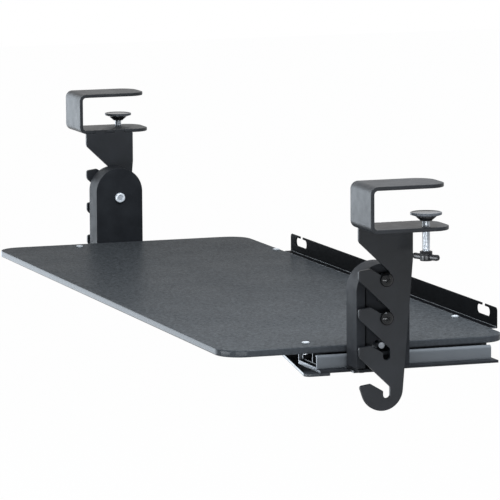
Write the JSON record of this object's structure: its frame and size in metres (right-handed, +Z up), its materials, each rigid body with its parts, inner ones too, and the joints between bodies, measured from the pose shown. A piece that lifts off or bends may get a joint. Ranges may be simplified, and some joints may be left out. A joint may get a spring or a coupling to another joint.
{
  "type": "clamp-on under-desk keyboard tray",
  "caption": "Black sliding keyboard tray hung under a desk edge by C-clamps with toothed hook plates, with a tilting frame, ball slides and a rear fence with cable notches.",
  "frame": {"origin": "on the desk's top front edge, midway between the two clamps: Y 0 is the desk's front face inside the clamps and Z 0 the desk's top face", "axes": "+X to the user's right, +Y away from the user and under the desk, +Z up"},
  "size_m": [0.796, 0.24, 0.1764],
  "materials": {
    "board": "black laminate with a fine matte texture",
    "clamp_steel": "satin black powder coat",
    "frame_steel": "satin black powder coat",
    "slide_outer_steel": "satin black coat",
    "slide_bare_steel": "dark plated steel",
    "zinc": "bright zinc plate",
    "black_hardware": "glossy black",
    "black_plastic": "moulded black"
  },
  "bodies": {
    "clamps": {"strap_left": "clamp_steel", "strap_right": "clamp_steel", "hook_plate_left": "clamp_steel", "hook_plate_right": "clamp_steel"},
    "pad_left": {"clamp_pad_left": "black_plastic"},
    "pad_right": {"clamp_pad_right": "black_plastic"},
    "screw_left": {"clamp_rod_left": "zinc", "wing_knob_left": "black_plastic"},
    "screw_right": {"clamp_rod_right": "zinc", "wing_knob_right": "black_plastic"},
    "hanger": {"pin_plate_left": "frame_steel", "pin_plate_right": "frame_steel", "upper_pin_left": "black_hardware", "upper_pin_right": "black_hardware", "lower_pin_left": "black_hardware", "lower_pin_right": "black_hardware", "pivot_bolt_left": "zinc", "pivot_bolt_right": "zinc", "pivot_spacer_left": "black_hardware", "pivot_spacer_right": "black_hardware", "pivot_nut_left": "black_hardware", "pivot_nut_right": "black_hardware"},
    "frame": {"carrier_left": "frame_steel", "carrier_right": "frame_steel", "carrier_rivets_left": "black_hardware", "carrier_rivets_right": "black_hardware", "stop_pin_left": "zinc", "stop_pin_right": "zinc", "slide_bed_left": "frame_steel", "slide_bed_right": "frame_steel", "bed_rivets_left": "black_hardware", "bed_rivets_right": "black_hardware", "slide_outer_left": "slide_outer_steel", "slide_outer_right": "slide_outer_steel", "cross_plate": "frame_steel"},
    "slide_mid_left": {"slide_middle_left": "slide_bare_steel"},
    "slide_mid_right": {"slide_middle_right": "slide_bare_steel"},
    "tray": {"tray_board": "board", "fence": "frame_steel", "front_screw_left": "zinc", "front_screw_right": "zinc", "back_screw_left": "zinc", "back_screw_right": "zinc", "slide_screw_left": "zinc", "slide_screw_right": "zinc", "slide_inner_left": "slide_bare_steel", "slide_inner_right": "slide_bare_steel"}
  },
  "joints": [
    {"name": "pad_lift_left", "type": "slide", "parent": "clamps", "child": "pad_left", "axis": [0, 0, 1], "range_m": [-0.004, 0.014]},
    {"name": "screw_spin_left", "type": "hinge", "parent": "pad_left", "child": "screw_left", "pos_m": [-0.386, 0.044, -0.045], "axis": [0, 0, 1], "range_deg": [-1440, 5040]},
    {"name": "pad_lift_right", "type": "slide", "parent": "clamps", "child": "pad_right", "axis": [0, 0, 1], "range_m": [-0.004, 0.014]},
    {"name": "screw_spin_right", "type": "hinge", "parent": "pad_right", "child": "screw_right", "pos_m": [0.386, 0.044, -0.045], "axis": [0, 0, 1], "range_deg": [-1440, 5040]},
    {"name": "hanger_lift", "type": "slide", "parent": "clamps", "child": "hanger", "axis": [0, 0, 1], "range_m": [0, 0.0045]},
    {"name": "tray_tilt", "type": "hinge", "parent": "hanger", "child": "frame", "pos_m": [0, 0.025, -0.08785], "axis": [1, 0, 0], "range_deg": [-8, 8]},
    {"name": "tray_slide", "type": "slide", "parent": "frame", "child": "tray", "axis": [0, -1, 0], "range_m": [0, 0.12]},
    {"name": "slide_mid_left", "type": "slide", "parent": "frame", "child": "slide_mid_left", "axis": [0, -1, 0], "range_m": [0, 0.06]},
    {"name": "slide_mid_right", "type": "slide", "parent": "frame", "child": "slide_mid_right", "axis": [0, -1, 0], "range_m": [0, 0.06]}
  ],
  "couplings": [
    {"joint": "screw_spin_left", "follows": "pad_lift_left", "rad_per_m": 6283.1},
    {"joint": "screw_spin_right", "follows": "pad_lift_right", "rad_per_m": 6283.1},
    {"joint": "slide_mid_left", "follows": "tray_slide", "ratio": 0.5},
    {"joint": "slide_mid_right", "follows": "tray_slide", "ratio": 0.5}
  ]
}
